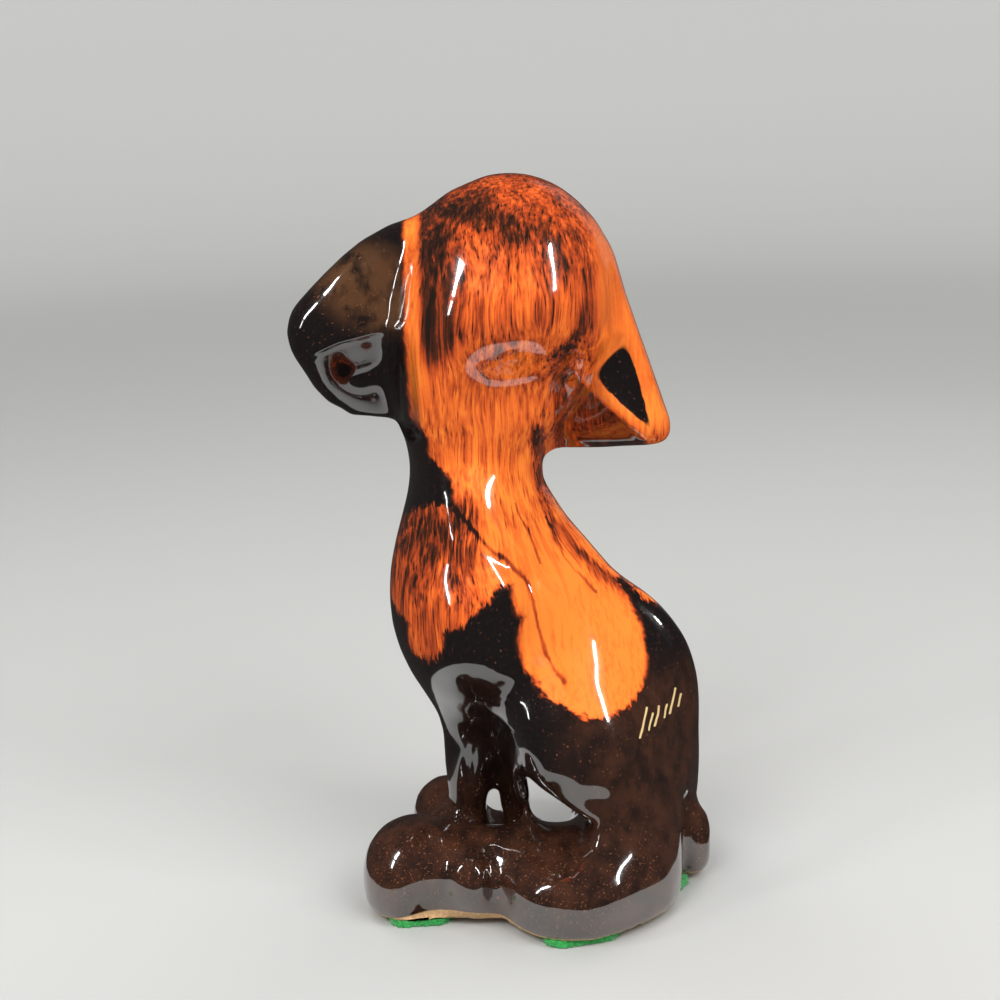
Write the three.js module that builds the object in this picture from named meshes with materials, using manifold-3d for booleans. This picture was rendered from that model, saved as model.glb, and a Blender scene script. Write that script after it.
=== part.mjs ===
// A sitting hound puppy in glazed earthenware, cast in one piece, on glued felt pads.
// Millimetres, +Z up. The dog faces -X and looks back over its right side, towards +Y.
// The origin is on the ground under the middle of its base.
//
// The casting is described as a set of soft rounded masses that melt into each other.
// Each mass is a distance function: below zero inside the clay, above zero outside.
// The skin where the distances add up to zero is then covered with small triangles.

import * as THREE from 'three';
import { mergeVertices } from 'three/addons/utils/BufferGeometryUtils.js';
import Module from 'manifold-3d';

const wasm = await Module();
wasm.setup();

// Overall sizes. The casting is described down to a little below its sole, which is then cut flat.
const FELT_THICKNESS = 1.8;
const GLUE_GAP = 0.2;
const SOLE_HEIGHT = FELT_THICKNESS + GLUE_GAP;
const SOLE_SPARE = 2.5;

// Fineness of the skin along each axis: where it starts, then [where a stretch ends, its step].
// The steps are small round the legs, feet and face, and larger on the plain body.
const FINE_STEP = 2.5;
const MEDIUM_STEP = 3.6;
const COARSE_STEP = 4.5;
const ALONG_X = { start: -60, stretches: [[-14, 4], [9, FINE_STEP], [56, 4]] };
const ALONG_Y = { start: -46, stretches: [[30, 4], [56, 3.3]] };
const ALONG_Z = { start: -4, stretches: [[36, FINE_STEP], [106, COARSE_STEP], [178, MEDIUM_STEP]] };

// Body and hind quarters
const TRUNK = { from: [1.5, 5, 85], to: [23, 3, 50], radii: [14.3, 18.8] };
const SHOULDER = { centre: [11.5, 1.5, 60], radii: [16, 17, 33], lean: -22 };
const RUMP = { centre: [27, 3, 38], radii: [18.7, 18, 34] };
const BREAST = { centre: [-7.8, 5, 73], radii: [21.2, 27, 30] };
const HAUNCH = { centre: [18.5, -8, 31], radii: [19, 19, 30], lean: -20 };
const HAUNCH_FOOT = { centre: [22.5, -14, 7.5], radii: [17, 18, 20] };
const FAR_HAUNCH = { centre: [28, 13, 30], radii: [16, 17, 30], lean: -20 };
const TAIL = { centre: [42, -2, 9], radii: [6.6, 5.5, 11.5] };

// The two openings beside the front legs, seen from the side
const BELLY_OPENING = {
  corners: [[2.8, 34.5], [4.2, 6], [11, 10], [18.5, 24.5]],
  low: -40,
  high: 60,
  rounding: 1.5,
};
const LEG_OPENING = {
  corners: [[-5.6, 31], [-9, 6], [-2.4, 6]],
  low: -40,
  high: 60,
  rounding: 1,
};

// Hind feet: the near one reaches forward on the ground, the far one is tucked in
const HEEL = { centre: [13, -21.5, 7], radii: [17, 17.5, 11.4], squareness: 3 };
const INSTEP = { from: [8, -17, 8], to: [-22, -14.5, 9], radii: [12, 11.5] };
const BIG_TOE = { centre: [-24.3, -13.5, 8], radii: [13.3, 14.5, 14], squareness: 2.2 };
const SECOND_TOE = { centre: [-10.5, -22.5, 10], radii: [6.5, 6.5, 8.5] };
const FAR_FOOT = { centre: [29.5, 22, 6], radii: [14.5, 13, 14], squareness: 3 };
const FAR_TOE = { first: [20, 17.5, 6.5], spread: 6.2, count: 3, radii: [5.2, 3.8, 6] };

// Front legs, one a little ahead of the other, and their paws
const NEAR_LEG = { from: [-9.2, 4, 58], to: [-11.2, 4, 8], radii: [9, 5.2] };
const FAR_LEG = { from: [3, 8, 52], to: [1, 10, 8], radii: [9, 4.6] };
const NEAR_PAW = { centre: [-15, 4, 9], radii: [9, 8, 9.5] };
const FAR_PAW = { centre: [-17, 16, 10], radii: [9.5, 9, 10.5] };
const FAR_WRIST = { from: [1, 12, 4], to: [-15, 16, 5], radii: [6.5, 7] };
const FOOT_WEB = { centre: [5, 2, 0], radii: [23, 18, 9] };

// Neck and head. The face looks along +Y, and the whole head leans a little to +X.
const NECK = { centre: [-7.3, 8, 104], radii: [15.5, 23.5, 60] };
const SKULL = { centre: [1.5, 5, 142.5], radii: [25, 27, 31], lean: 10 };
const CHEEK = { centre: [-7, 4, 128], radii: [16, 20, 18] };
const FACE_MIDDLE = [0, 132];
const FACE_LEAN = 10;
const MUZZLE = { at: [0, 30.5, -2.5], radii: [13.5, 17, 12.5] };
const LIP = { at: [6.5, 35.5, -8], radii: [8.5, 11.5, 8.5] };
const CHIN = { at: [0, 33, -15.5], radii: [8, 11, 6] };
const NOSE = { at: [0, 44.5, 3.2], radii: [7, 5.5, 5.2] };
const BROW = { at: [9.5, 24, 15], radii: [8, 8, 7] };
const EYE = { at: [10.5, 27.5, 9], radii: [4.8, 4.8, 5.2] };
const JOWL = { at: [14, 20, -6], radii: [10, 13, 12] };

// Ears: thick folded flaps, each bounded by straight edges with rounded corners,
// with a ridge across the middle from which both faces fall away
const LEFT_EAR = {
  corners: [[-8, 166], [-26, 164], [-38.5, 156], [-52, 140], [-42, 116.5], [-8, 109]],
  middle: 7,
  ridge: [[-20, 141], [-45, 139.5]],
  ridgeDepth: 10,
  fallAbove: 0.16,
  fallBelow: 0.3,
  rounding: 7,
};
const RIGHT_EAR = {
  corners: [[8, 106.5], [41.4, 109], [24.5, 160.5], [8, 169]],
  middle: 7,
  ridge: [[36, 111], [18, 129]],
  ridgeDepth: 10,
  fallAbove: 0.16,
  fallBelow: 0.35,
  rounding: 7,
};

// Felt pads under the flat sole: the middle, length and width, and turn of each, in plan
const FELT_PADS = [
  { name: 'felt_pad_toe', centre: [-24, -17.5], size: [15, 16], turn: 5, corner: 4 },
  { name: 'felt_pad_heel', centre: [13.5, -30], size: [18, 14], turn: 14, corner: 4 },
  { name: 'felt_pad_tail', centre: [33.2, -13], size: [22, 9], turn: 57, corner: 3 },
  { name: 'felt_pad_far_haunch', centre: [29, 23], size: [18, 12], turn: 0, corner: 4 },
];

function vector(values) {
  return new THREE.Vector3(...values);
}

// Distance to an egg-like mass. lean turns it in the side view, in degrees, and a
// squareness over 2 makes its sides stand more upright and its top flatter.
function egg({ centre, radii, lean = 0, squareness = 2 }) {
  const tiny = 1e-6;
  const cosine = Math.cos(THREE.MathUtils.degToRad(lean));
  const sine = Math.sin(THREE.MathUtils.degToRad(lean));
  return (x, y, z) => {
    const dx = x - centre[0];
    const dz = z - centre[2];
    const u = (dx * cosine - dz * sine) / radii[0];
    const v = (y - centre[1]) / radii[1];
    const across = Math.max(Math.hypot(u, v), tiny);
    const upright = Math.max(Math.abs(dx * sine + dz * cosine) / radii[2], tiny);
    const reach = (across ** squareness + upright ** squareness) ** (1 / squareness);
    const shareAcross = (across / reach) ** (squareness - 1) / across;
    const shareUpright = (upright / reach) ** (squareness - 1);
    const slope = Math.hypot(
      (shareAcross * u) / radii[0],
      (shareAcross * v) / radii[1],
      shareUpright / radii[2],
    );
    return (reach - 1) / slope;
  };
}

// Distance to a limb that tapers from one radius to the other.
function limb({ from, to, radii }) {
  const along = to.map((value, axis) => value - from[axis]);
  const lengthSquared = along.reduce((sum, value) => sum + value * value, 0);
  return (x, y, z) => {
    const offset = [x - from[0], y - from[1], z - from[2]];
    const travel = offset.reduce((sum, value, axis) => sum + value * along[axis], 0);
    const share = Math.min(1, Math.max(0, travel / lengthSquared));
    const gap = Math.hypot(...offset.map((value, axis) => value - share * along[axis]));
    return gap - (radii[0] + share * (radii[1] - radii[0]));
  };
}

// Joins two distances so that the masses melt into each other over the given width.
function melt(a, b, width) {
  const overlap = Math.max(width - Math.abs(a - b), 0) / width;
  return Math.min(a, b) - overlap * overlap * width * 0.25;
}

// Keeps only what lies inside both, with the meeting edge rounded over the width.
function common(a, b, width) {
  return -melt(-a, -b, width);
}

// How far a point lies to the left of the line from one corner to the next, in the side view.
function beside([start, end], x, z) {
  const dx = end[0] - start[0];
  const dz = end[1] - start[1];
  return ((z - start[1]) * dx - (x - start[0]) * dz) / Math.hypot(dx, dz);
}

// How far a point lies outside a shape with straight sides and rounded corners, in the
// side view. The corners run anticlockwise, with +X to the right and +Z up.
function outline(corners, rounding, x, z) {
  return corners
    .map((corner, index) => -beside([corner, corners[(index + 1) % corners.length]], x, z))
    .reduce((a, b) => common(a, b, rounding));
}

// An ear: flat in the side view, with both its faces falling away from a ridge.
function ear({ corners, middle, ridge, ridgeDepth, fallAbove, fallBelow, rounding }) {
  return (x, y, z) => {
    const height = beside(ridge, x, z);
    const fall = height < 0 ? -height * fallAbove : height * fallBelow;
    const halfDepth = ridgeDepth - fall;
    return common(outline(corners, rounding, x, z), Math.abs(y - middle) - halfDepth, rounding);
  };
}

// An opening that goes through from side to side.
function opening({ corners, low, high, rounding }) {
  return (x, y, z) => {
    const along = Math.max(low - y, y - high);
    return Math.max(outline(corners, rounding, x, z), along);
  };
}

// A mass of the face, given sideways, forwards and upwards from the middle of the face.
function faceMass({ at: [sideways, forwards, upwards], radii }, side = 1) {
  const lean = THREE.MathUtils.degToRad(FACE_LEAN);
  const x = FACE_MIDDLE[0] + side * sideways * Math.cos(lean) + upwards * Math.sin(lean);
  const z = FACE_MIDDLE[1] - side * sideways * Math.sin(lean) + upwards * Math.cos(lean);
  return egg({ centre: [x, forwards, z], radii, lean: FACE_LEAN });
}

// The same mass on both sides of the face.
function facePair(mass, width) {
  return [-1, 1].map((side) => [faceMass(mass, side), width]);
}

// The row of toes at the front of the tucked foot.
function farToes() {
  return Array.from({ length: FAR_TOE.count }, (_, index) => {
    const [x, y, z] = FAR_TOE.first;
    return [egg({ centre: [x, y + index * FAR_TOE.spread, z], radii: FAR_TOE.radii }), 2];
  });
}

// The masses in the order in which they are joined, each with its melting width.
const BODY = [
  [limb(TRUNK), 0],
  [egg(RUMP), 9],
  [egg(SHOULDER), 7],
  [egg(BREAST), 4],
  [egg(HAUNCH), 8],
  [egg(HAUNCH_FOOT), 8],
  [egg(FAR_HAUNCH), 8],
  [limb(NEAR_LEG), 8],
  [limb(FAR_LEG), 8],
  [egg(NECK), 8],
  [egg(SKULL), 12],
  [egg(CHEEK), 12],
  ...facePair(JOWL, 8),
  [faceMass(MUZZLE), 7],
  ...facePair(LIP, 4),
  [faceMass(CHIN), 3],
  ...facePair(BROW, 6),
  ...facePair(EYE, 1.5),
  [faceMass(NOSE), 1.5],
  [ear(LEFT_EAR), 3],
  [ear(RIGHT_EAR), 4],
];
const OPENINGS = [
  [opening(BELLY_OPENING), 3],
  [opening(LEG_OPENING), 1.5],
];
const FEET = [
  [egg(TAIL), 3],
  [egg(HEEL), 6],
  [limb(INSTEP), 5],
  [egg(BIG_TOE), 4],
  [egg(SECOND_TOE), 2.5],
  [egg(FAR_FOOT), 6],
  ...farToes(),
  [egg(NEAR_PAW), 3],
  [limb(FAR_WRIST), 4],
  [egg(FAR_PAW), 3],
  [egg(FOOT_WEB), 5],
];

function clay(x, y, z) {
  let total = BODY[0][0](x, y, z);
  for (const [mass, width] of BODY.slice(1)) {
    total = melt(total, mass(x, y, z), width);
  }
  for (const [gap, width] of OPENINGS) {
    total = common(total, -gap(x, y, z), width);
  }
  for (const [mass, width] of FEET) {
    total = melt(total, mass(x, y, z), width);
  }
  return Math.max(total, SOLE_HEIGHT - SOLE_SPARE - z);
}

// The levels of the grid along one axis.
function levelsAlong({ start, stretches }) {
  const values = [start];
  for (const [end, step] of stretches) {
    while (values.at(-1) < end) {
      values.push(values.at(-1) + step);
    }
  }
  return values;
}

// Covers the zero skin of a distance function with triangles. Every box of the grid that
// the skin passes through gets a corner for each stretch of skin in it, and every grid edge
// that the skin crosses joins the corners of the four boxes round it with a patch.
function skin(distance, xs, ys, zs) {
  const levels = [xs, ys, zs];
  const key = (at) => (at[2] * ys.length + at[1]) * xs.length + at[0];
  const edgeKey = (at, axis) => key(at) * 3 + axis;
  const moved = (at, axis, by = 1) => at.map((value, other) => (other === axis ? value + by : value));
  const place = (at) => vector(at.map((value, axis) => levels[axis][value]));

  const values = [];
  for (const z of zs) {
    for (const y of ys) {
      for (const x of xs) {
        values.push(distance(x, y, z));
      }
    }
  }
  const inside = (at) => values[key(at)] < 0;
  const crosses = (at, axis) => inside(at) !== inside(moved(at, axis));

  const positions = [];
  const boxes = new Map();
  const cornersOf = (box) => {
    const known = boxes.get(key(box));
    if (known) {
      return known;
    }
    const crossings = new Map();
    const partner = new Map();
    for (let axis = 0; axis < 3; axis += 1) {
      for (const [p, q] of [[0, 0], [0, 1], [1, 0], [1, 1]]) {
        const start = moved(moved(box, (axis + 1) % 3, p), (axis + 2) % 3, q);
        if (crosses(start, axis)) {
          const end = moved(start, axis);
          const share = values[key(start)] / (values[key(start)] - values[key(end)]);
          crossings.set(edgeKey(start, axis), place(start).lerp(place(end), share));
          partner.set(edgeKey(start, axis), edgeKey(start, axis));
        }
      }
    }
    const root = (edge) => (partner.get(edge) === edge ? edge : root(partner.get(edge)));
    const link = (one, other) => partner.set(root(one), root(other));
    for (let axis = 0; axis < 3; axis += 1) {
      for (const side of [0, 1]) {
        const u = (axis + 1) % 3;
        const v = (axis + 2) % 3;
        const a = moved(box, axis, side);
        const ring = [[a, u], [moved(a, u), v], [moved(a, v), u], [a, v]];
        const crossed = ring.filter((edge) => crosses(...edge)).map((edge) => edgeKey(...edge));
        if (crossed.length === 2) {
          link(crossed[0], crossed[1]);
        } else if (crossed.length === 4) {
          const first = inside(a) ? 3 : 1;
          link(crossed[0], crossed[first]);
          link(crossed[2], crossed[4 - first]);
        }
      }
    }
    const groups = new Map();
    for (const [edge, point] of crossings) {
      const members = groups.get(root(edge)) ?? [];
      groups.set(root(edge), [...members, point]);
    }
    const cornerOfGroup = new Map();
    for (const [group, points] of groups) {
      const middle = points.reduce((sum, point) => sum.add(point), new THREE.Vector3());
      const point = settle(distance, middle.divideScalar(points.length));
      cornerOfGroup.set(group, positions.length / 3);
      positions.push(point.x, point.y, point.z);
    }
    const corners = new Map();
    for (const edge of crossings.keys()) {
      corners.set(edge, cornerOfGroup.get(root(edge)));
    }
    boxes.set(key(box), corners);
    return corners;
  };

  const indices = [];
  for (let k = 1; k < zs.length - 1; k += 1) {
    for (let j = 1; j < ys.length - 1; j += 1) {
      for (let i = 1; i < xs.length - 1; i += 1) {
        for (let axis = 0; axis < 3; axis += 1) {
          const at = [i, j, k];
          if (crosses(at, axis)) {
            const ring = [[-1, -1], [0, -1], [0, 0], [-1, 0]].map(([p, q]) => {
              const box = moved(moved(at, (axis + 1) % 3, p), (axis + 2) % 3, q);
              return cornersOf(box).get(edgeKey(at, axis));
            });
            pushPatch(indices, positions, inside(at) ? ring : ring.reverse());
          }
        }
      }
    }
  }

  const geometry = new THREE.BufferGeometry();
  geometry.setAttribute('position', new THREE.Float32BufferAttribute(positions, 3));
  geometry.setIndex(indices);
  return geometry;
}

// Moves a point on to the zero skin along the slope of the distance.
function settle(distance, point) {
  const probe = 0.05;
  const rounds = 3;
  const longestStep = FINE_STEP / 3;
  for (let round = 0; round < rounds; round += 1) {
    const { x, y, z } = point;
    const here = distance(x, y, z);
    const slope = new THREE.Vector3(
      distance(x + probe, y, z) - distance(x - probe, y, z),
      distance(x, y + probe, z) - distance(x, y - probe, z),
      distance(x, y, z + probe) - distance(x, y, z - probe),
    ).divideScalar(2 * probe);
    const step = THREE.MathUtils.clamp(-here / slope.lengthSq(), -longestStep, longestStep);
    point.addScaledVector(slope, step);
  }
  return point;
}

// Splits a four-sided patch along its shorter diagonal.
function pushPatch(indices, positions, [a, b, c, d]) {
  const at = (index) => new THREE.Vector3().fromArray(positions, index * 3);
  if (at(a).distanceTo(at(c)) < at(b).distanceTo(at(d))) {
    indices.push(a, b, c, a, c, d);
  } else {
    indices.push(a, b, d, b, c, d);
  }
}

// A closed three.js geometry as a solid, and the other way round.
function toSolid(geometry) {
  const bare = geometry.clone();
  bare.deleteAttribute('normal');
  bare.deleteAttribute('uv');
  const merged = mergeVertices(bare, 1e-4);
  return new wasm.Manifold(new wasm.Mesh({
    numProp: 3,
    vertProperties: new Float32Array(merged.attributes.position.array),
    triVerts: new Uint32Array(merged.index.array),
  }));
}

function toGeometry(solid) {
  const mesh = solid.getMesh();
  const geometry = new THREE.BufferGeometry();
  geometry.setAttribute('position', new THREE.BufferAttribute(mesh.vertProperties, 3));
  geometry.setIndex(new THREE.BufferAttribute(mesh.triVerts, 1));
  geometry.computeVertexNormals();
  return geometry;
}

// A felt pad: a rounded rectangle lying on the ground, turned in the plan view.
function feltPad({ name, centre, size: [length, width], turn, corner }) {
  const [x, y] = [length / 2, width / 2];
  const shape = new THREE.Shape()
    .moveTo(corner - x, -y)
    .lineTo(x - corner, -y)
    .absarc(x - corner, corner - y, corner, -Math.PI / 2, 0)
    .lineTo(x, y - corner)
    .absarc(x - corner, y - corner, corner, 0, Math.PI / 2)
    .lineTo(corner - x, y)
    .absarc(corner - x, y - corner, corner, Math.PI / 2, Math.PI)
    .lineTo(-x, corner - y)
    .absarc(corner - x, corner - y, corner, Math.PI, 1.5 * Math.PI);
  const geometry = new THREE.ExtrudeGeometry(shape, {
    depth: FELT_THICKNESS,
    bevelEnabled: false,
    curveSegments: 3,
  });
  const felt = new THREE.MeshStandardMaterial({ color: 0x1f8a3c, roughness: 0.95, metalness: 0 });
  const pad = new THREE.Mesh(geometry, felt);
  pad.name = name;
  pad.position.set(...centre, 0);
  pad.rotation.z = THREE.MathUtils.degToRad(turn);
  return pad;
}

const model = new THREE.Group();

const cast = skin(clay, levelsAlong(ALONG_X), levelsAlong(ALONG_Y), levelsAlong(ALONG_Z));
const block = 400;  // larger than the whole figure
const above = new THREE.BoxGeometry(block, block, block).translate(0, 0, block / 2 + SOLE_HEIGHT);
const figure = toGeometry(toSolid(cast).intersect(toSolid(above)));
const glaze = new THREE.MeshStandardMaterial({ color: 0x3a1a10, roughness: 0.12, metalness: 0 });
const dog = new THREE.Mesh(figure, glaze);
dog.name = 'dog_figure';
model.add(dog, ...FELT_PADS.map(feltPad));

const middle = new THREE.Box3().setFromObject(model).getCenter(new THREE.Vector3());
model.position.set(-middle.x, -middle.y, 0);

export default model;
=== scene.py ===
import math

import bmesh
import bpy
import numpy as np
from mathutils import Matrix, Vector


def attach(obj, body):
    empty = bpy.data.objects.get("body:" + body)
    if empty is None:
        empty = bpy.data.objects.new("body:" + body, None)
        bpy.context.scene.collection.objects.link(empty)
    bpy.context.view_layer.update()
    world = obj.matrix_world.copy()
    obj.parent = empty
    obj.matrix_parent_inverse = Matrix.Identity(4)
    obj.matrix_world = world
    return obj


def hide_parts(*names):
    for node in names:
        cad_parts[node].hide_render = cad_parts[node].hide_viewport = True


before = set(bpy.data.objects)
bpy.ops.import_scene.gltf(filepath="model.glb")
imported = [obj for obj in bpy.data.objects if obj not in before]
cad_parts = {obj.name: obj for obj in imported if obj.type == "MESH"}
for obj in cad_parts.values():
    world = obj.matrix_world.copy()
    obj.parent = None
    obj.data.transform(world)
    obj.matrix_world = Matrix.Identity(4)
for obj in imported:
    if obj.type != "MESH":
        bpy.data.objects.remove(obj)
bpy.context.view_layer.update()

MM = 0.001

# The figure: a sitting hound puppy, slip cast in earthenware in one piece.
# Its skin is the cast shape with all facets melted away, as thick glaze rounds everything,
# and with the creases, toes, ear hollows and face that the mould gives it pressed in afterwards.

SKIN_SQUARE = 0.8 * MM
SMOOTHING_ROUNDS = 220
LAST_ROUNDS = 3
SHRINK_STEP = 0.5
SWELL_STEP = -0.515
SOLE = 2 * MM


def merged_copy(node):
    """The node's mesh as a new object with its loose triangles joined up."""
    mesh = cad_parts[node].data.copy()
    work = bmesh.new()
    work.from_mesh(mesh)
    bmesh.ops.remove_doubles(work, verts=work.verts, dist=0.001 * MM)
    work.to_mesh(mesh)
    work.free()
    mesh.materials.clear()
    piece = bpy.data.objects.new(node + "_skin", mesh)
    bpy.context.scene.collection.objects.link(piece)
    return piece


def remeshed(piece, square):
    """Covers the piece with an even net of small squares."""
    net = piece.modifiers.new("net", "REMESH")
    net.mode = "VOXEL"
    net.voxel_size = square
    net.use_smooth_shade = True
    shown = piece.evaluated_get(bpy.context.evaluated_depsgraph_get())
    mesh = bpy.data.meshes.new_from_object(shown)
    piece.modifiers.clear()
    piece.data = mesh
    return piece


def places_of(mesh):
    flat = np.empty(len(mesh.vertices) * 3, dtype=np.float32)
    mesh.vertices.foreach_get("co", flat)
    return flat.reshape(-1, 3).astype(float)


def outward_of(mesh):
    flat = np.empty(len(mesh.vertices) * 3, dtype=np.float32)
    mesh.vertex_normals.foreach_get("vector", flat)
    return flat.reshape(-1, 3).astype(float)


def put_places(mesh, places):
    mesh.vertices.foreach_set("co", places.astype(np.float32).ravel())
    mesh.update()


def neighbours_of(mesh):
    """For all the vertices one after another, their neighbours, and where each list starts."""
    ends = np.empty(len(mesh.edges) * 2, dtype=np.int32)
    mesh.edges.foreach_get("vertices", ends)
    ends = ends.reshape(-1, 2)
    both = np.concatenate([ends, ends[:, ::-1]])
    both = both[np.argsort(both[:, 0], kind="stable")]
    count = np.bincount(both[:, 0], minlength=len(mesh.vertices))
    start = np.concatenate([[0], np.cumsum(count)[:-1]])
    return both[:, 1], start, count


def smooth_skin(mesh, rounds):
    """Melts the facets without shrinking the form: each round relaxes and then swells it."""
    places = places_of(mesh)
    sole = places[:, 2] < SOLE + 0.3 * SKIN_SQUARE
    others, start, count = neighbours_of(mesh)
    for _ in range(rounds):
        for step in (SHRINK_STEP, SWELL_STEP):
            middle = np.add.reduceat(places[others], start) / count[:, None]
            places += step * (middle - places)
            places[sole, 2] = SOLE
    put_places(mesh, places)


figure = remeshed(merged_copy("dog_figure"), SKIN_SQUARE)
figure.name = "glazed_puppy"
smooth_skin(figure.data, SMOOTHING_ROUNDS)
skin = places_of(figure.data)
outward = outward_of(figure.data)

# Sculpting on the skin, in millimetres. Depth below the surface counts less than the way across
# it, so that a path has to lie only roughly on the skin.
PATH_DEPTH_SHARE = 0.35

# Moves across the figure fade out where the skin turns away from the side that they work on.
FACING_GAIN = 1.6


def along_path(path):
    """Distance of every place on the skin from a path of points."""
    squash = np.array([1, PATH_DEPTH_SHARE, 1])
    corners = np.array(path, dtype=float) * MM * squash
    flat = skin * squash
    gap = np.full(len(skin), np.inf)
    for start, end in zip(corners, corners[1:]):
        along = end - start
        share = np.clip((flat - start) @ along / (along @ along), 0, 1)
        gap = np.minimum(gap, np.linalg.norm(flat - start - share[:, None] * along, axis=1))
    return gap / MM


def press(path, width, depth):
    """Presses a soft groove along the path, or with a depth below zero raises a ridge."""
    global skin
    skin = skin - outward * (depth * MM * np.exp(-((along_path(path) / width) ** 2)))[:, None]


def model(path, width, depth):
    """Moves the near side back along the path, or with a depth below zero fills it out."""
    global skin
    facing = np.clip(-FACING_GAIN * outward[:, 1], 0, 1)
    skin[:, 1] += depth * MM * facing * np.exp(-((along_path(path) / width) ** 2))


CORNER_ROUNDING = 1.6


def hollow(corners, rim, depth, side):
    """Presses a bowl between corners, given clockwise across and up, into the side that is named."""
    global skin
    nearness = np.zeros(len(skin))
    for start, end in zip(corners, corners[1:] + corners[:1]):
        along = Vector(end) - Vector(start)
        inward = Vector((along.y, -along.x)).normalized()
        reach = (skin[:, 0] / MM - start[0]) * inward.x + (skin[:, 2] / MM - start[1]) * inward.y
        nearness += np.exp(-np.clip(reach, -20, 60) / CORNER_ROUNDING)
    share = np.clip(-CORNER_ROUNDING * np.log(nearness) / rim, 0, 1)
    share = share * share * (3 - 2 * share)
    facing = np.clip(FACING_GAIN * side * outward[:, 1], 0, 1)
    skin[:, 1] -= side * depth * MM * share * facing


FOLD_SOFTNESS = 0.8
LEAN_DROP = 0.15
LEAN_FADE = 3
HOLD_FADE = 10


def lean(fold, slope, reach, fade, floor, hold):
    """Leans an ear's flap back below a fold, given from its left end to its right, across and up.

    It fades in between two places across and above the floor. What lies farther back than hold stays.
    """
    global skin
    (left, left_up), (right, right_up) = fold
    x, y, z = (skin / MM).T
    length = math.hypot(right - left, right_up - left_up)
    below = ((x - left) * (right_up - left_up) - (z - left_up) * (right - left)) / length
    below = FOLD_SOFTNESS * np.log1p(np.exp(np.clip(below, -30, 60) / FOLD_SOFTNESS))
    share = np.clip((x - fade[0]) / (fade[1] - fade[0]), 0, 1) * np.clip((z - floor) / LEAN_FADE, 0, 1)
    share = share * share * (3 - 2 * share) * np.clip((hold - y) / HOLD_FADE, 0, 1)
    moved = slope * np.clip(below, 0, reach) * share
    skin[:, 1] += moved * MM
    skin[:, 2] -= LEAN_DROP * moved * MM


# The broad forms of the near side: a full back of the head over a deep nape, the neck standing out
# below it, a swelling breast, the upper arm, and a flank that turns away to the back.
model([(-8, -27, 145), (8, -27, 145)], 8, -1.5)
model([(-1, -22, 126), (15, -17, 126)], 9.5, 7.5)
model([(-4, -20, 112), (6, -18, 110)], 9, 4.5)
model([(-10, -20, 101), (-8.5, -22, 94)], 6, -2.6)
model([(4, -20, 84), (10, -20, 78)], 7, -1.2)
model([(-8, -25, 75), (-9, -25, 67)], 10, -4.2)
model([(1, -20, 60), (3, -20, 46)], 7, -3)
model([(4, -22, 50), (8, -24, 40)], 6, -4)
model([(6, -24, 60), (7, -24, 52)], 4.5, -2)
model([(16, -28, 52), (22, -28, 45)], 12, -2.6)
model([(28, -5, 86), (47, -20, 42)], 14, 5.5)

# The crease between chest and shoulder, and the shallow line that runs on down the shoulder.
press([(-11.1, -19.9, 102.7), (-8.3, -21.9, 95.4), (-3.7, -23.1, 91), (5.3, -21.4, 81.9)], 2.6, 0.9)
press([(5.3, -21.4, 81.9), (7.7, -21.6, 69.7), (10.3, -22.2, 61.2), (13.2, -23.8, 58)], 1.3, 0.3)

# The left ear: a ridge across it, under which the flap folds back and is dished.
lean([(-44, 133.7), (-20, 139.5)], 0.5, 22, (-17.5, -20.5), 113, 20)
press([(-20, -14, 140), (-27.6, -8.2, 139.3), (-36.5, -7.6, 137.2), (-42.1, -6.8, 134.7)], 1.6, -1)
model([(-24, -10, 131), (-33, -6, 129)], 5, 2.5)

# The right ear: pinched where it leaves the head, folded back under a sharp edge, and with a long
# hollow behind that edge.
lean([(15, 130.5), (36, 109.5)], 0.5, 12, (11, 16), 104, 9)
press([(17.5, -19, 131.1), (14, -17.3, 123.3), (12.2, -15, 118.3), (11.1, -6.3, 110.5)], 1.7, 1.4)
press([(17, -14, 128.5), (19.6, -11.4, 125), (26.2, -8, 120.4), (34, -6.5, 111.5)], 1.3, -0.6)
hollow([(23.6, 137), (31.8, 138), (36.4, 121), (35.5, 111), (23, 124)], 3.6, 1.8, -1)

# The near hind foot: an undercut valley beside the big toe, a knob of a second toe in a shallow
# ring, the rounded heel, and the valleys to the haunch and the tail.
model([(-21.5, -33, 4), (-20.5, -33.5, 5)], 4.8, 3.4)
press([(-20.5, -26, 19.5), (-20.5, -30, 15.8), (-20, -32.5, 11)], 3, 1)
press([(-8, -28, 20), (-4.6, -32.2, 15), (-3, -34.5, 8), (-3.2, -35, 4)], 2.4, 0.8)
press([(-11.5, -33, 14.5), (-10, -34.5, 12)], 5, -1.8)
press([(-16.5, -33, 9), (-15.5, -30, 17), (-10.5, -29, 20.5), (-5.5, -31, 17), (-4.8, -34, 9)], 1.6, 0.7)
model([(4, -40, 11), (24, -38, 12)], 6, -0.9)
model([(18, -38, 18), (21, -36, 16)], 9, -1.6)
press([(20.6, -32.4, 31.6), (21.9, -32.6, 28), (20.9, -34.2, 21.2), (15, -43.2, 13.3)], 3, 0.6)
press([(42.5, -13.7, 22.6), (42.5, -13.7, 12.1), (42.6, -12.3, 3.4)], 1.4, 0.8)

# The face, on the far side: eyes, nostrils and a closed mouth, laid out from the face's middle.
FACE_LEAN = math.radians(10)
FACE_X = 1.1
FACE_Z = 132
FACE_SEARCH = 1.2


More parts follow.
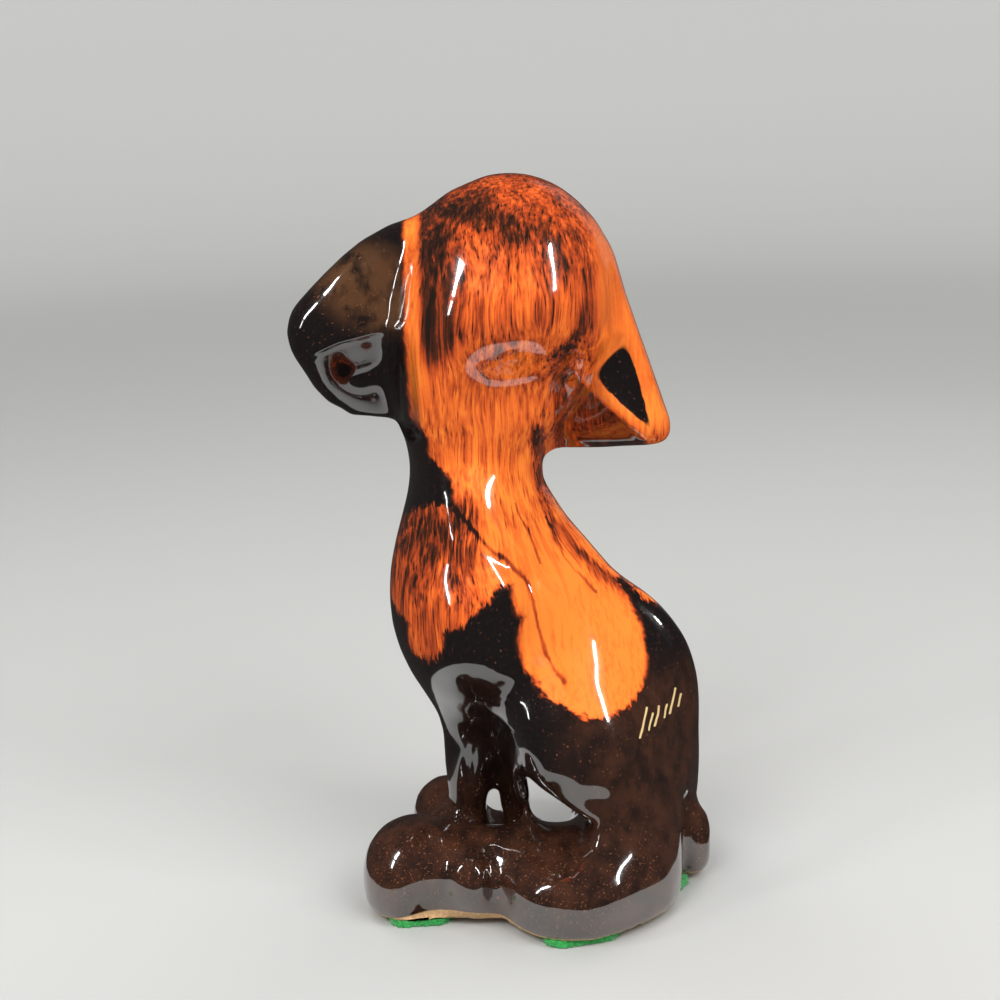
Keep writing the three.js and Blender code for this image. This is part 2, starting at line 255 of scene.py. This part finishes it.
def on_face(sideways, upwards):
    """The place on the skin that lies so far to a side of the face's middle and above it."""
    x = FACE_X + sideways * math.cos(FACE_LEAN) + upwards * math.sin(FACE_LEAN)
    z = FACE_Z - sideways * math.sin(FACE_LEAN) + upwards * math.cos(FACE_LEAN)
    near = np.hypot(skin[:, 0] / MM - x, skin[:, 2] / MM - z) < FACE_SEARCH
    return (x, skin[near, 1].max() / MM, z)


def face_ring(sideways, upwards, across, up, start=0, end=360, steps=16):
    """Points round an oval on the face."""
    turns = [math.radians(start + (end - start) * step / steps) for step in range(steps + 1)]
    return [on_face(sideways + across * math.cos(turn), upwards + up * math.sin(turn)) for turn in turns]


EYES = (-9.5, 9.5)
EYE_HEIGHT = 9
NOSE_HEIGHT = -5
MOUTH_HEIGHT = -11.5
press([on_face(-2.5, NOSE_HEIGHT), on_face(2.5, NOSE_HEIGHT)], 4.5, -1.4)
for eye in EYES:
    side = math.copysign(1, eye)
    press(face_ring(eye, EYE_HEIGHT, 6.4, 5.6, 20, 160), 1.4, -0.9)
    press(face_ring(eye, EYE_HEIGHT, 4.6, 3.6), 1.2, 1.2)
    press([on_face(side * 2.6, NOSE_HEIGHT), on_face(side * 3.4, NOSE_HEIGHT - 0.8)], 1.2, 1.4)
    press(face_ring(side * 5.5, MOUTH_HEIGHT, 5.5, 4, 180, 360), 1.2, 1.1)
press([on_face(0, MOUTH_HEIGHT + 3), on_face(0, MOUTH_HEIGHT)], 1.2, 1.1)

put_places(figure.data, skin)
smooth_skin(figure.data, LAST_ROUNDS)
for face in figure.data.polygons:
    face.use_smooth = True

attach(figure, "root")
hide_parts("dog_figure")


class Channel:
    """A shader socket. Arithmetic on it adds Math nodes to its material."""

    def __init__(self, tree, socket):
        self.tree = tree
        self.socket = socket

    def node(self, kind, values, output=0, stops=None, **settings):
        """Adds any node: first its settings and ramp stops, then the values or links of its sockets."""
        made = self.tree.nodes.new(kind)
        for name, value in settings.items():
            setattr(made, name, value)
        for index, (position, tint) in enumerate(stops or []):
            ramp = made.color_ramp.elements
            stop = ramp[index] if index < 2 else ramp.new(position)
            stop.position = position
            stop.color = (*tint, 1)
        for name, value in values.items():
            if isinstance(value, Channel):
                self.tree.links.new(value.socket, made.inputs[name])
            else:
                made.inputs[name].default_value = value
        return Channel(self.tree, made.outputs[output])

    def maths(self, operation, *values):
        return self.node("ShaderNodeMath", dict(enumerate(values)), operation=operation)

    def __add__(self, other):
        return self.maths("ADD", self, other)

    def __radd__(self, other):
        return self + other

    def __sub__(self, other):
        return self.maths("SUBTRACT", self, other)

    def __rsub__(self, other):
        return self.maths("SUBTRACT", other, self)

    def __mul__(self, other):
        return self.maths("MULTIPLY", self, other)

    def __rmul__(self, other):
        return self * other


def new_material(name):
    """A fresh material, its main shader, and its surface points in millimetres."""
    material = bpy.data.materials.new(name)
    material.use_nodes = True
    shader = material.node_tree.nodes["Principled BSDF"]
    start = Channel(material.node_tree, None)
    metres = start.node("ShaderNodeTexCoord", {}, output="Object")
    point = metres.node("ShaderNodeVectorMath", {0: metres, "Scale": 1 / MM}, operation="SCALE")
    return material, shader, point


def feed(shader, name, channel):
    channel.tree.links.new(channel.socket, shader.inputs[name])


def parts_of(vector):
    return [vector.node("ShaderNodeSeparateXYZ", {0: vector}, output=axis) for axis in "XYZ"]


def vector_of(x, y, z):
    source = next(value for value in (x, y, z) if isinstance(value, Channel))
    return source.node("ShaderNodeCombineXYZ", {"X": x, "Y": y, "Z": z})


def rise(value, low, high, bottom=0, top=1):
    """Goes softly from bottom to top while the value goes from low to high."""
    if low > high:
        low, high, bottom, top = high, low, top, bottom
    sockets = {"Value": value, "From Min": low, "From Max": high, "To Min": bottom, "To Max": top}
    return value.node("ShaderNodeMapRange", sockets, interpolation_type="SMOOTHSTEP")


def noise(vector, size, detail=2, roughness=0.5):
    """Cloudy noise from 0 to 1, with clouds of the given size in millimetres along X, Y and Z."""
    sockets = {"Vector": vector, "Scale": size}
    grain = vector.node("ShaderNodeMapping", sockets, vector_type="TEXTURE")
    sockets = {"Vector": grain, "Scale": 1, "Detail": detail, "Roughness": roughness}
    return grain.node("ShaderNodeTexNoise", sockets)


def greatest(first, *others):
    for other in others:
        first = first.maths("MAXIMUM", first, other)
    return first


def least(first, *others):
    for other in others:
        first = first.maths("MINIMUM", first, other)
    return first


def blend(share, first, second):
    """Goes from the first colour to the second as the share goes from 0 to 1."""
    sockets = {0: share, 6: first, 7: second}
    return share.node("ShaderNodeMix", sockets, output=2, data_type="RGBA")


def oval(map_point, centre, radii, turn=0):
    """How far a point of the pattern map lies inside an oval, in millimetres."""
    sockets = {
        "Vector": map_point,
        "Location": (*centre, 0),
        "Rotation": (0, 0, math.radians(turn)),
        "Scale": (*radii, 1),
    }
    local = map_point.node("ShaderNodeMapping", sockets, vector_type="TEXTURE")
    reach = local.node("ShaderNodeVectorMath", {0: local}, output="Value", operation="LENGTH")
    return (1 - reach) * min(radii)


def away_from(map_point, path):
    """Distance of a point of the pattern map from a drawn line, in millimetres."""
    gaps = []
    for start, end in zip(path, path[1:]):
        along = Vector((*end, 0)) - Vector((*start, 0))
        sockets = {0: map_point, 1: (*start, 0)}
        offset = map_point.node("ShaderNodeVectorMath", sockets, operation="SUBTRACT")
        sockets = {0: offset, 1: along / along.length_squared}
        share = offset.node("ShaderNodeVectorMath", sockets, output="Value", operation="DOT_PRODUCT")
        share = share.node("ShaderNodeClamp", {"Value": share})
        sockets = {0: tuple(along), "Scale": share}
        nearest = share.node("ShaderNodeVectorMath", sockets, operation="SCALE")
        sockets = {0: offset, 1: nearest}
        gaps.append(offset.node("ShaderNodeVectorMath", sockets, output="Value", operation="DISTANCE"))
    return least(*gaps)


glaze, glaze_shader, point = new_material("drip_glaze")
x, y, z = parts_of(point)

# The pattern map: across is x, and up is the height, read along lines that fall towards the back.
# Past the middle of the figure it folds over, so that the far side carries a like pattern.
MAP_SLOPE = 0.251
MAP_FOLD = -2
fold = (y - MAP_FOLD) * (y - MAP_FOLD) + 4
depth = MAP_FOLD - fold.maths("SQRT", fold)
height = z + MAP_SLOPE * depth

# The flow: glaze runs straight down the head, and bends to the tail over the shoulder.
bend = 10 * rise(height, 104, 66) * rise(x, -10, 24)
wave = noise(point, (7, 7, 14), detail=0) - 0.5
flow = vector_of(x - bend + 2.5 * wave, y, z)
streak = noise(flow, (0.9, 1.8, 24), detail=2, roughness=0.6) - 0.5
hair = noise(flow, (0.4, 1.3, 15), detail=1)
cloud = noise(flow, (4.5, 4.5, 12), detail=1) - 0.5
mottle = noise(point, (1, 1, 1), detail=2, roughness=0.6) - 0.5
tongues = noise(flow, (1, 1, 6), detail=2, roughness=0.65) - 0.5
ripple = noise(point, (5, 5, 5), detail=2, roughness=0.6) - 0.5
up = height + 6 * tongues + 2 * ripple
across = x + 1.6 * ripple + 0.8 * mottle
pattern = vector_of(across, up, 0)
calm_x = x + 1.2 * ripple
calm_up = height + 1.6 * ripple
calm = vector_of(calm_x, calm_up, 0)

# The overglaze runs down the head and neck, parts at the crease of the chest, and ends in lobes.
left_edge = rise(up, 118, 110, bottom=-21.3, top=-17)
left_edge = left_edge + rise(up, 109, 99, bottom=0, top=5.5) + rise(up, 97, 87, bottom=0, top=4.5)
head = least(up - 86, across - left_edge)
neck = oval(pattern, (4, 96), (14, 19))
shoulder = greatest(
    oval(pattern, (21, 56), (13.3, 13.6)),
    oval(pattern, (14, 62), (12, 12.5)),
    oval(pattern, (18.5, 61), (15, 17)),
    oval(pattern, (11.5, 75), (10.5, 12)),
    up - 75 + 0.7 * rise(across, 27, 37, bottom=0, top=10),
)
shoulder = least(shoulder, across + 2 - rise(up, 74, 92, bottom=0, top=12) + 12)
chest = greatest(
    oval(pattern, (-16, 80), (13.5, 15.5)),
    oval(pattern, (-18.5, 64), (5, 6.5)),
    oval(pattern, (-8, 82), (9, 12)),
)
far_muzzle = least(y - 16, z - 109 + 5 * tongues)
cover = greatest(head, neck, shoulder, chest, far_muzzle)

# How thick the overglaze lies: 1 is full orange, and the dark body shows through where it is thin.
# It is thinnest on the crown, in two smoky bands, and in a line down the root of the right ear.
HEAD_THICK = 0.60
NECK_THICK = 0.74
NECK_GAIN = 0.1
CROWN_LOSS = 0.12
SMOKE_LOSS = 0.38
ROOT_LOSS = 0.3
STRIPE_THICK = 0.86
EAR_THICK = (0.82, 1.04)
CHEST_THICK = (0.2, 0.56)
SHOULDER_THICK = 0.97
UNDER_THICK = (0.36, 0.16)
crown = rise(height + 0.47 * x, 161, 170)
band = away_from(calm, [(-15, 164), (-4.2, 163), (2.5, 159.4), (9.7, 155.3), (16.8, 149)])
left_side = away_from(calm, [(-14.5, 160), (-12.5, 149), (-14, 134)])
root_line = away_from(calm, [(22.6, 149), (21.4, 141.4), (19.7, 134.6), (16, 130), (13.5, 126)])
thick = rise(height, 131, 116, bottom=HEAD_THICK, top=NECK_THICK) + NECK_GAIN * rise(height, 113, 98)
smoke = greatest(rise(band, 8.5, 0.5) * rise(x, 18, -4, bottom=0.5), rise(left_side, 9.5, 1.5))
thick = thick - CROWN_LOSS * crown - SMOKE_LOSS * smoke - ROOT_LOSS * rise(root_line, 2.6, 0.3)
root_stripe = rise(x, -15.8, -18) * rise(height, 112, 118)
thick = thick + root_stripe * (STRIPE_THICK - thick)
ear_zone = rise(x, 20.5, 25) * rise(height, 108, 118)
ear_thick = rise(height, 124, 112, bottom=EAR_THICK[0], top=EAR_THICK[1])
thick = thick + ear_zone * (ear_thick - thick)
chest_zone = rise(x, -3, -10) * rise(height, 100, 90)
chest_thick = rise(height, 97, 68, bottom=CHEST_THICK[0], top=CHEST_THICK[1])
thick = thick + chest_zone * (chest_thick - thick)
shoulder_zone = rise(height + 0.6 * x, 98, 84) * rise(x, -2, 5)
thick = thick + shoulder_zone * (SHOULDER_THICK - thick)

# The underside of the right ear, below its sharp edge: thin, and darker towards the tip.
underside = least(-0.7 * (x - 17.5) - 0.7 * (height - 126.3), x - 12.5, height - 100)
under = rise(underside, -0.4, 1.2)
under_thick = rise(x, 14, 31, bottom=UNDER_THICK[0], top=UNDER_THICK[1])
thick = thick + under * (under_thick - thick)

# The flow draws the overglaze into long streaks, and the dark body shows as hair lines in it.
smooth_zone = greatest(shoulder_zone, ear_zone, 0.6 * under, 0.6 * root_stripe)
thick = thick + (1.3 - 0.6 * crown - 0.75 * smooth_zone - 0.5 * smoke) * streak
thick = thick + (0.5 - 0.25 * smooth_zone) * cloud
thick = thick + (0.15 + 0.6 * crown) * mottle
hair_depth = 0.32 * (1 - 0.7 * smooth_zone) * (1 - 0.5 * crown)
thick = thick - rise(hair, 0.55, 0.75) * hair_depth

# Dark lines in the overglaze, where it parts over the crease and runs past the neck.
crack = away_from(
    calm,
    [(-10.5, 94), (-3.7, 85.2), (1.9, 80.5), (5.3, 76.5), (7.7, 64.3), (10.3, 55.7), (13.2, 52)],
)
run = away_from(calm, [(3, 94.7), (6.7, 86.7), (8.6, 80.9)])
other_run = away_from(calm, [(10.3, 91.5), (14.4, 81.5), (21.8, 72.9)])
back_run = away_from(
    calm,
    [(8.9, 112), (9.4, 98.1), (11.6, 91), (17.2, 83.2), (23.5, 76.3), (30.1, 71.9)],
)
thick = thick - 0.5 * rise(crack + 1.2 * streak, 0.9, 0.1)
thick = thick - 0.4 * rise(least(run, other_run) + streak, 0.55, 0.05)
thick = thick - 0.42 * rise(back_run + 2 * streak, 2.6, 0.2)

# The hollow behind the right ear's sharp edge stays dark: a leaf shape between three edges.
from_rim = greatest(0.97 * (30.8 - calm_x) + 0.24 * (133 - calm_up), 0)
from_edge = greatest(0.73 * (calm_x - 24) + 0.69 * (calm_up - 122.8), 0)
from_top = greatest(0.7 * (calm_x - 24.2) - 0.71 * (calm_up - 128), 0)
ear_hollow = from_rim * from_edge * from_top

level = least(thick, rise(cover, -0.4, 2.4, bottom=0.05, top=1.2))
orange = level.node(
    "ShaderNodeValToRGB",
    {0: level},
    stops=[
        (0.08, (0.014, 0.006, 0.004)),
        (1, (0.97, 0.25, 0.032)),
        (0.26, (0.075, 0.016, 0.006)),
        (0.44, (0.34, 0.045, 0.010)),
        (0.62, (0.66, 0.10, 0.016)),
        (0.82, (0.88, 0.17, 0.023)),
    ],
)

# The body glaze: near black on the legs and chest, brown and a little clouded where it is thinner.
base_dark = (0.006, 0.004, 0.004, 1)
base_brown = (0.052, 0.019, 0.010, 1)
olive_sheen = (0.085, 0.036, 0.015, 1)
rust = (0.16, 0.06, 0.03, 1)
clouds = noise(point, (5, 5, 7), detail=3, roughness=0.65)
brown_zone = greatest(rise(x, 6, 24) * rise(height, 60, 45), rise(z, 34, 18))
dark = blend(rise(clouds, 0.3, 0.7, bottom=0.2) * brown_zone, base_dark, base_brown)
# Painted sheen: an olive-brown oval of painted light on the left ear's upper face, broken up by the clouds.
ear_face_sheen = rise(oval(calm, (-28.5, 147), (14, 10), turn=-28), -3, 5) * rise(y, 6, 0)
dark = blend(ear_face_sheen * rise(clouds, 0.28, 0.55), dark, olive_sheen)
specks = noise(point, (0.5, 0.5, 0.5), detail=1) + 0.05 * rise(z, 30, 12)
dark = blend(rise(specks, 0.67, 0.77), dark, rust)

# The dark body glaze is left bare for the eyes and the nose.
EYE_SIZE = (4, 3)
NOSE_SIZE = (5.6, 3.9)
front = vector_of(x, z, 0)
eye_spots = [on_face(eye, EYE_HEIGHT) for eye in EYES]
nose_x, _, nose_z = on_face(0, NOSE_HEIGHT)
marks = greatest(
    *[oval(front, (eye_x, eye_z), EYE_SIZE) for eye_x, _, eye_z in eye_spots],
    oval(front, (nose_x, nose_z), NOSE_SIZE),
)
marks = rise(marks, -0.4, 0.5) * rise(y, 12, 15)
shown = rise(cover, -0.5, 0.4) * rise(ear_hollow, 26, 8) * (1 - marks)
finish = blend(shown, dark, orange)

# Gilt strokes: a slanted row of short marks painted over the glaze on the haunch.
# Each is given by its lower end, across and up, and by how tall it is.
GILT = (0.80, 0.58, 0.27, 1)
STROKES = [(30.6, 37.6, 6.5), (33, 39, 3.5), (34.6, 39.8, 4.5), (37, 41, 3), (38.6, 41.8, 6), (41, 43.2, 3)]
STROKE_SLANT = 0.3
strokes = least(
    *[away_from(calm, [(foot, low), (foot + STROKE_SLANT * tall, low + tall)]) for foot, low, tall in STROKES]
)
gilt = rise(strokes, 0.34, 0.18) * rise(y, -1, -3)
finish = blend(gilt, finish, GILT)

# The bare clay of the sole, and of the low arch between the near foot's pads.
CLAY_TAN = (0.46, 0.27, 0.13, 1)
CLAY_PALE = (0.62, 0.40, 0.21, 1)
arch = (x + 12) * (x + 12) * -0.01
rim_top = 2.4 + 2.2 * arch.maths("EXPONENT", arch) * rise(y, -22, -27)
bare = rise(z - rim_top + 0.8 * ripple, 0.25, -0.15)
clay = blend(rise(mottle, -0.2, 0.2), CLAY_TAN, CLAY_PALE)
finish = blend(bare, finish, clay)

feed(glaze_shader, "Base Color", finish)
feed(glaze_shader, "Roughness", rise(greatest(bare, 0.35 * gilt), 0, 1, bottom=0.14, top=0.8))
feed(glaze_shader, "Coat Weight", 1 - bare)
glaze_shader.inputs["IOR"].default_value = 1.5
glaze_shader.inputs["Coat IOR"].default_value = 2.1
glaze_shader.inputs["Coat Roughness"].default_value = 0.03

# Thick glaze lies in soft waves.
relief = 0.6 * noise(point, (6, 6, 9), detail=0)
waves = relief.node("ShaderNodeBump", {"Strength": 1, "Distance": 0.12 * MM, "Height": relief})
feed(glaze_shader, "Normal", waves)
figure.data.materials.append(glaze)

# The felt pads: four patches cut from green craft felt and glued to the bare sole.
# Cut felt is a mat of short fibres, so the pads are lumpy and loose fibres stand out of their edges.

FELT_SQUARE = 0.35 * MM
FELT_FLUFF = 0.22 * MM
FIBRES = 170
FIBRE_LENGTH = (0.5 * MM, 1.4 * MM)
FIBRE_THICK = 0.06 * MM
FLOOR_GAP = 0.05 * MM

felt, felt_shader, felt_point = new_material("green_felt")
tufts = noise(felt_point, (0.5, 0.5, 0.5), detail=3, roughness=0.7)
shade = noise(felt_point, (4, 4, 4), detail=2)
FELT_DARK = (0.010, 0.16, 0.030, 1)
FELT_LIGHT = (0.045, 0.50, 0.10, 1)
FELT_MIDDLE = (0.02, 0.30, 0.06, 1)
felt_color = blend(rise(tufts, 0.3, 0.7), FELT_DARK, FELT_LIGHT)
felt_color = blend(0.4 * rise(shade, 0.35, 0.65), felt_color, FELT_MIDDLE)
feed(felt_shader, "Base Color", felt_color)
felt_shader.inputs["Roughness"].default_value = 0.95
felt_shader.inputs["Sheen Weight"].default_value = 0.4
felt_bump = tufts.node("ShaderNodeBump", {"Strength": 0.8, "Distance": 0.2 * MM, "Height": tufts})
feed(felt_shader, "Normal", felt_bump)


def add_fibres(piece, chance):
    """Sets loose fibres, thin three-sided spikes, round the cut edge of a pad."""
    mesh = piece.data
    sides = [vertex for vertex in mesh.vertices if abs(vertex.normal.z) < 0.6]
    work = bmesh.new()
    work.from_mesh(mesh)
    for pick in chance.integers(0, len(sides), FIBRES):
        lean = Vector(chance.normal(0, 0.5, 3))
        way = (sides[pick].normal + lean).normalized()
        way.z *= 0.4
        length = chance.uniform(*FIBRE_LENGTH)
        turn = way.to_track_quat("Z", "Y").to_matrix().to_4x4()
        middle = sides[pick].co + way * 0.4 * length
        middle.z = max(middle.z, FLOOR_GAP + 0.25 * length)
        bmesh.ops.create_cone(
            work,
            cap_ends=True,
            segments=3,
            radius1=FIBRE_THICK,
            radius2=FIBRE_THICK / 4,
            depth=length,
            matrix=Matrix.Translation(middle) @ turn,
        )
    work.to_mesh(mesh)
    work.free()


for seed, name in enumerate(("felt_pad_toe", "felt_pad_heel", "felt_pad_tail", "felt_pad_far_haunch")):
    chance = np.random.default_rng(seed)
    pad = remeshed(merged_copy(name), FELT_SQUARE)
    pad.name = name + "_fuzz"
    places = places_of(pad.data)
    lump = chance.uniform(-1, 1, len(places))
    others, start, count = neighbours_of(pad.data)
    for _ in range(2):
        lump = 0.5 * lump + 0.5 * np.add.reduceat(lump[others], start) / count
    places += outward_of(pad.data) * (FELT_FLUFF * lump / lump.std() * 0.5)[:, None]
    places[:, 2] = np.clip(places[:, 2], FLOOR_GAP, SOLE - FLOOR_GAP)
    put_places(pad.data, places)
    add_fibres(pad, chance)
    for face in pad.data.polygons:
        face.use_smooth = True
    pad.data.materials.append(felt)
    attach(pad, "root")
    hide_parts(name)

# The studio: a plain pale floor that sweeps up far behind, under soft lamps.
# Only the floor round the feet shows in the glaze, as it would in a dark room. Farther off the sweep
# glows faintly, so that the room stays pale behind the figure.

NEAR_FLOOR = 0.0725
NEAR_MIDDLE = (0.0011, -0.0115)
SWEEP_START = 1.2
SWEEP_RADIUS = 0.8
SWEEP_TOP = 2.2
FLOOR_COLOR = (0.45, 0.45, 0.44, 1)
FLOOR_ROUGHNESS = 0.6
TURNS = 96

GLOW_RANGE = (500, 1900)
GLOW_MOST = 0.34

floor_paint, floor_shader, _ = new_material("pale_floor")
sweep_paint, sweep_shader, sweep_point = new_material("pale_sweep")
for shader in (floor_shader, sweep_shader):
    shader.inputs["Base Color"].default_value = FLOOR_COLOR
    shader.inputs["Roughness"].default_value = FLOOR_ROUGHNESS
from_middle = sweep_point.node(
    "ShaderNodeVectorMath", {0: sweep_point}, output="Value", operation="LENGTH"
)
glow = rise(from_middle, *GLOW_RANGE, bottom=0, top=GLOW_MOST)
feed(sweep_shader, "Emission Color", blend(glow, (0, 0, 0, 1), (1, 1, 0.98, 1)))
sweep_shader.inputs["Emission Strength"].default_value = 1


def stage_piece(name, work, paint):
    mesh = bpy.data.meshes.new(name)
    work.to_mesh(mesh)
    work.free()
    mesh.materials.append(paint)
    for face in mesh.polygons:
        face.use_smooth = True
    piece = bpy.data.objects.new(name, mesh)
    bpy.context.scene.collection.objects.link(piece)
    return piece


near_work = bmesh.new()
centre = Matrix.Translation((*NEAR_MIDDLE, 0))
bmesh.ops.create_circle(near_work, cap_ends=True, segments=TURNS, radius=NEAR_FLOOR, matrix=centre)
stage_piece("floor_near", near_work, floor_paint)

far_work = bmesh.new()
profile = [(NEAR_FLOOR, 0), (SWEEP_START, 0)]
for step in range(1, 13):
    turn = math.radians(90 * step / 12)
    lift = SWEEP_RADIUS * (1 - math.cos(turn))
    profile.append((SWEEP_START + SWEEP_RADIUS * math.sin(turn), lift))
profile.append((SWEEP_START + SWEEP_RADIUS, SWEEP_TOP))
line = [far_work.verts.new((reach, 0, lift)) for reach, lift in profile]
edges = [far_work.edges.new(pair) for pair in zip(line, line[1:])]
bmesh.ops.spin(
    far_work,
    geom=line + edges,
    cent=(0, 0, 0),
    axis=(0, 0, 1),
    angle=2 * math.pi,
    steps=TURNS,
    use_merge=True,
)
bmesh.ops.translate(far_work, verts=far_work.verts, vec=(*NEAR_MIDDLE, 0))
bmesh.ops.recalc_face_normals(far_work, faces=far_work.faces)
floor_far = stage_piece("floor_far", far_work, sweep_paint)
floor_far.visible_glossy = False

world = bpy.data.worlds.new("dim_room")
world.use_nodes = True
world.node_tree.nodes["Background"].inputs["Color"].default_value = (0.034, 0.032, 0.03, 1)
bpy.context.scene.world = world
bpy.context.scene.view_settings.view_transform = "Standard"

AIM = Vector((0, 0, 0.085))


def lamp(name, azimuth, elevation, distance, size, power, mirrored=False):
    """A flat lamp facing the figure. Azimuth 0 is the camera's side and 90 the right."""
    light = bpy.data.lights.new(name, "AREA")
    light.shape = "RECTANGLE"
    light.size, light.size_y = size
    light.energy = power
    around = math.radians(azimuth)
    lift = math.radians(elevation)
    away = Vector(
        (math.sin(around) * math.cos(lift), -math.cos(around) * math.cos(lift), math.sin(lift))
    )
    facing = away.to_track_quat("Z", "Y").to_matrix().to_4x4()
    holder = bpy.data.objects.new(name, light)
    holder.matrix_world = Matrix.Translation(AIM + away * distance) @ facing
    holder.visible_glossy = mirrored
    holder.visible_camera = False
    bpy.context.scene.collection.objects.link(holder)


# Three narrow lamps and a faint card are mirrored in the glaze. The other lamps only light it.
lamp("strip_right", 63, 34, 0.5, (0.022, 0.22), 0.45, mirrored=True)
lamp("strip_left", -64, 38, 0.5, (0.035, 0.14), 0.45, mirrored=True)
lamp("strip_low", -64, 20, 0.5, (0.03, 0.12), 0.12, mirrored=True)
lamp("front_left", -30, 45, 1.0, (0.5, 0.5), 6.3)
lamp("front_right", 40, 45, 1.0, (0.5, 0.5), 5.9)
lamp("back_left", -140, 50, 1.1, (0.5, 0.5), 3)
lamp("back_right", 140, 50, 1.1, (0.5, 0.5), 3)
lamp("top", 0, 89, 1.2, (0.6, 0.6), 3)
lamp("card_right", 150, 22, 0.6, (0.3, 0.5), 0.05, mirrored=True)

PITCH = 14.1
ROLL = -1.87
STAND = (-0.35, -408.76, 198.65)
camera_data = bpy.data.cameras.new("camera")
camera_data.lens = 63
camera_data.sensor_width = 36
camera_data.clip_start = 0.01
camera = bpy.data.objects.new("camera", camera_data)
facing = Matrix.Rotation(math.radians(90 - PITCH), 4, "X") @ Matrix.Rotation(math.radians(ROLL), 4, "Z")
camera.matrix_world = Matrix.Translation(Vector(STAND) * MM) @ facing
bpy.context.scene.collection.objects.link(camera)
bpy.context.scene.camera = camera
